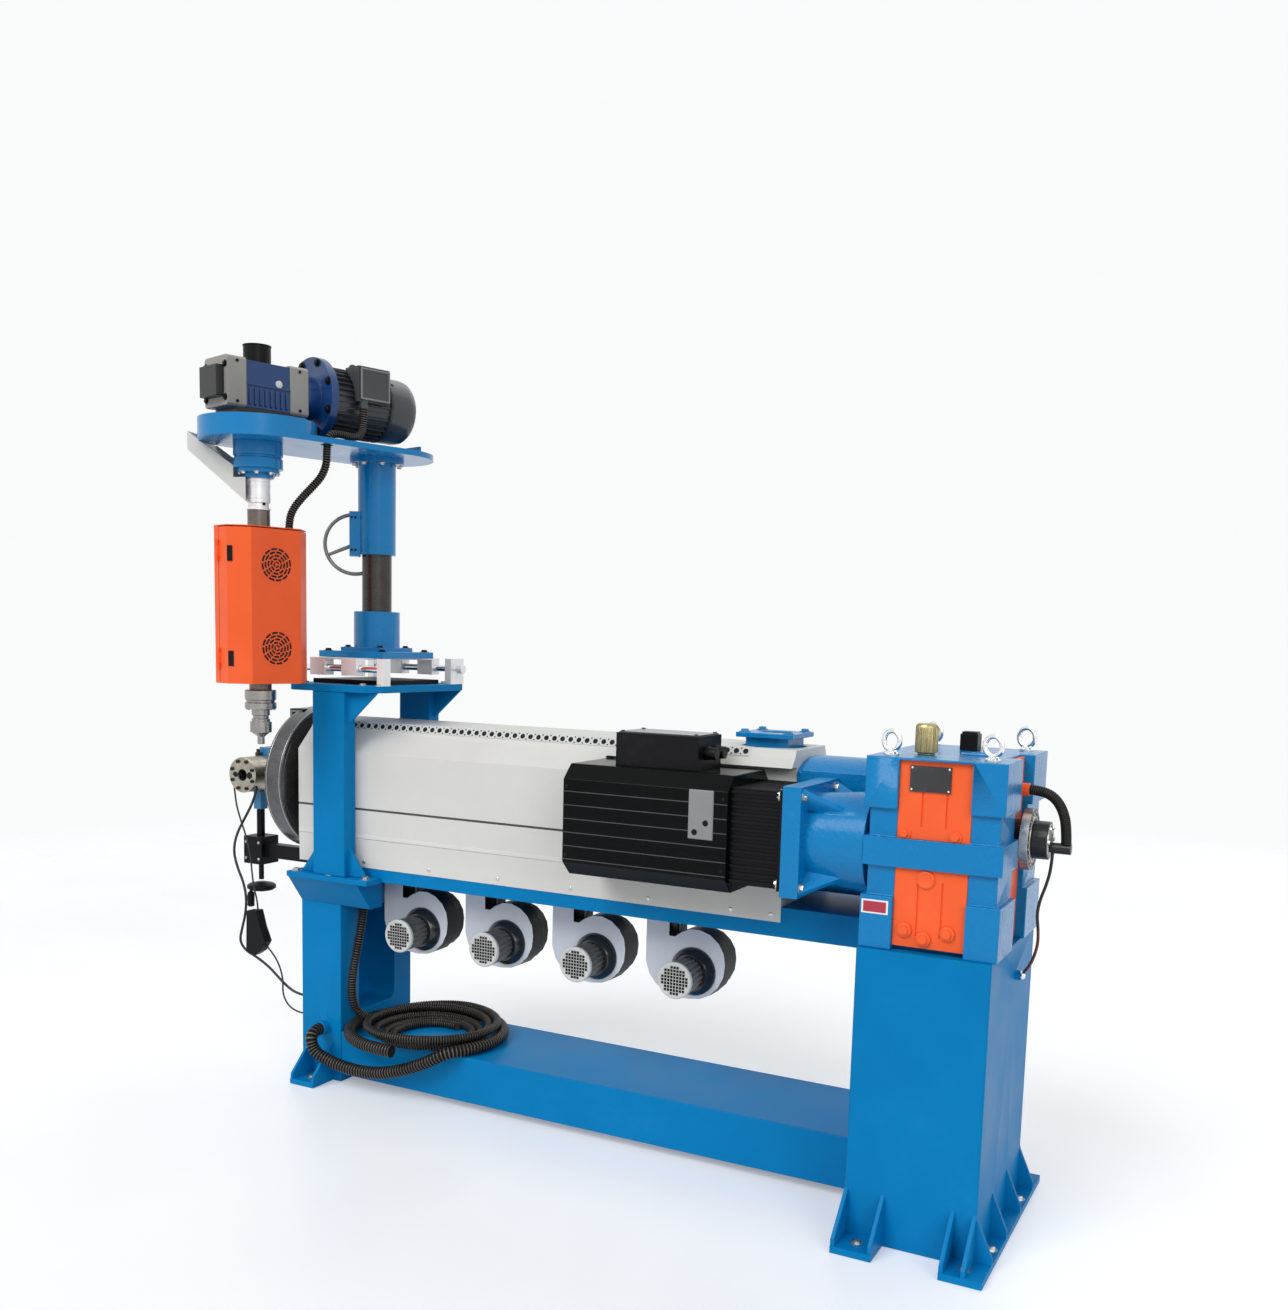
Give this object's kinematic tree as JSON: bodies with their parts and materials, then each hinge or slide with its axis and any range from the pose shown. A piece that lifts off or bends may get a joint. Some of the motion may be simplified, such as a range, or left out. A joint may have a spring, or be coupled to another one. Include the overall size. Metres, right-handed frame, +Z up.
{
  "type": "plastic extruder",
  "caption": "Cable extruder with a covered barrel between two pedestals, a gearbox with drive motor, a crosshead and a swinging vertical injection extruder.",
  "frame": {"origin": "on the floor, on the barrel axis, under the middle of the rear pedestal", "axes": "+Z up, +X along the barrel towards the gearbox, -Y towards the drive motor"},
  "size_m": [2.8397, 0.8826, 2.356],
  "materials": {
    "rear_pedestal": "semi-gloss blue paint",
    "front_pedestal": "semi-gloss blue paint",
    "base_beam": "semi-gloss blue paint",
    "flare_bracket": "semi-gloss blue paint",
    "bed_frame": "semi-gloss blue paint",
    "barrel_cover": "satin light grey paint",
    "portal_posts": "semi-gloss blue paint",
    "deck_plate": "semi-gloss blue paint",
    "slide_base": "black",
    "slide_rails": "machined, anodised",
    "slide_knob": "machined",
    "slide_carriage": "machined, anodised",
    "column_socket": "semi-gloss blue paint",
    "column_tube": "oiled dark steel",
    "lift_sleeve": "semi-gloss blue paint",
    "lift_handwheel": "grey",
    "arm_plate": "semi-gloss blue paint",
    "injector_bearing": "semi-gloss blue paint",
    "injector_barrel": "machined steel",
    "injector_nozzle": "machined steel",
    "feed_chute": "satin light grey paint",
    "guard_back": "satin orange paint",
    "guard_door": "satin orange paint",
    "reducer_core": "dark blue paint",
    "reducer_caps": "grey paint",
    "reducer_base": "black",
    "motor_flange": "dark blue paint",
    "injector_motor": "dark grey paint",
    "injector_terminal_box": "dark grey paint",
    "crosshead": "machined steel",
    "inlet_block": "blue",
    "head_clamp": "dark steel",
    "clamp_band": "dark bright steel",
    "head_terminal_box": "dark grey",
    "jack_block": "black",
    "jack_post": "dark steel",
    "jack_handwheel": "black",
    "thrust_housing": "hammered blue paint",
    "feed_throat": "semi-gloss blue paint",
    "gearbox_housing": "semi-gloss blue paint",
    "gearbox_core": "satin orange paint",
    "lifting_eyes": "forged steel",
    "filler_and_breather": "brass and black plastic",
    "shaft_end_unit": "bright steel and black",
    "bell_housing": "hammered blue paint",
    "drive_motor": "black",
    "motor_hood": "gloss black",
    "motor_terminal_box": "black",
    "blowers": "grey paint",
    "blower_motors": "ribbed metal",
    "conduit_arm": "black",
    "conduit_drop": "black",
    "conduit_loop": "black",
    "cable_coil": "black",
    "head_cable": "black",
    "head_lead": "black",
    "plug_lead": "black",
    "head_plug": "black",
    "end_hose": "black",
    "end_cable": "black"
  },
  "bodies": {
    "frame": {"rear_pedestal": "rear_pedestal", "front_pedestal": "front_pedestal", "base_beam": "base_beam", "flare_bracket": "flare_bracket", "bed_frame": "bed_frame", "barrel_cover": "barrel_cover", "portal_posts": "portal_posts", "deck_plate": "deck_plate", "slide_base": "slide_base", "slide_rails": "slide_rails", "crosshead": "crosshead", "inlet_block": "inlet_block", "head_clamp": "head_clamp", "clamp_band": "clamp_band", "head_terminal_box": "head_terminal_box", "jack_block": "jack_block", "thrust_housing": "thrust_housing", "feed_throat": "feed_throat", "gearbox_housing": "gearbox_housing", "gearbox_core": "gearbox_core", "lifting_eyes": "lifting_eyes", "filler_and_breather": "filler_and_breather", "shaft_end_unit": "shaft_end_unit", "bell_housing": "bell_housing", "drive_motor": "drive_motor", "motor_hood": "motor_hood", "motor_terminal_box": "motor_terminal_box", "blowers": "blowers", "blower_motors": "blower_motors", "conduit_drop": "conduit_drop", "conduit_loop": "conduit_loop", "cable_coil": "cable_coil", "head_cable": "head_cable", "head_lead": "head_lead", "plug_lead": "plug_lead", "head_plug": "head_plug", "end_hose": "end_hose", "end_cable": "end_cable"},
    "knob": {"slide_knob": "slide_knob"},
    "carriage": {"slide_carriage": "slide_carriage", "column_socket": "column_socket"},
    "column": {"column_tube": "column_tube"},
    "arm": {"lift_sleeve": "lift_sleeve", "arm_plate": "arm_plate", "injector_bearing": "injector_bearing", "injector_barrel": "injector_barrel", "injector_nozzle": "injector_nozzle", "feed_chute": "feed_chute", "guard_back": "guard_back", "reducer_core": "reducer_core", "reducer_caps": "reducer_caps", "reducer_base": "reducer_base", "motor_flange": "motor_flange", "injector_motor": "injector_motor", "injector_terminal_box": "injector_terminal_box", "conduit_arm": "conduit_arm"},
    "lift_wheel": {"lift_handwheel": "lift_handwheel"},
    "door": {"guard_door": "guard_door"},
    "jack": {"jack_post": "jack_post"},
    "jack_wheel": {"jack_handwheel": "jack_handwheel"}
  },
  "joints": [
    {"name": "carriage_slide", "type": "slide", "parent": "frame", "child": "carriage", "axis": [1, 0, 0], "range_m": [-0.055, 0.01]},
    {"name": "slide_knob_turn", "type": "hinge", "parent": "frame", "child": "knob", "pos_m": [-1.783, 0.162, 1.387], "axis": [1, 0, 0], "range_deg": [-1990, 370]},
    {"name": "column_swing", "type": "hinge", "parent": "carriage", "child": "column", "pos_m": [-2.003, 0, 1.5], "axis": [0, 0, 1], "range_deg": [-74, 25]},
    {"name": "arm_lift", "type": "slide", "parent": "column", "child": "arm", "axis": [0, 0, 1], "range_m": [-0.03, 0.15]},
    {"name": "lift_wheel_turn", "type": "hinge", "parent": "arm", "child": "lift_wheel", "pos_m": [-2.09904, 0.0011, 1.797], "axis": [-0.6157, 0.788, 0], "range_deg": [-400, 1830]},
    {"name": "door_hinge", "type": "hinge", "parent": "arm", "child": "door", "pos_m": [-2.16204, -0.55465, 1.576], "axis": [0, 0, -1], "range_deg": [0, 110]},
    {"name": "jack_lift", "type": "slide", "parent": "frame", "child": "jack", "axis": [0, 0, 1], "range_m": [-0.04, 0]},
    {"name": "jack_wheel_turn", "type": "hinge", "parent": "jack", "child": "jack_wheel", "pos_m": [-2.483, -0.05, 0.6], "axis": [0, 0, 1], "range_deg": [-2890, 10]}
  ],
  "couplings": [
    {"joint": "slide_knob_turn", "follows": "carriage_slide", "rad_per_m": 628.32},
    {"joint": "lift_wheel_turn", "follows": "arm_lift", "rad_per_m": 209.44},
    {"joint": "jack_wheel_turn", "follows": "jack_lift", "rad_per_m": 1256.6}
  ]
}
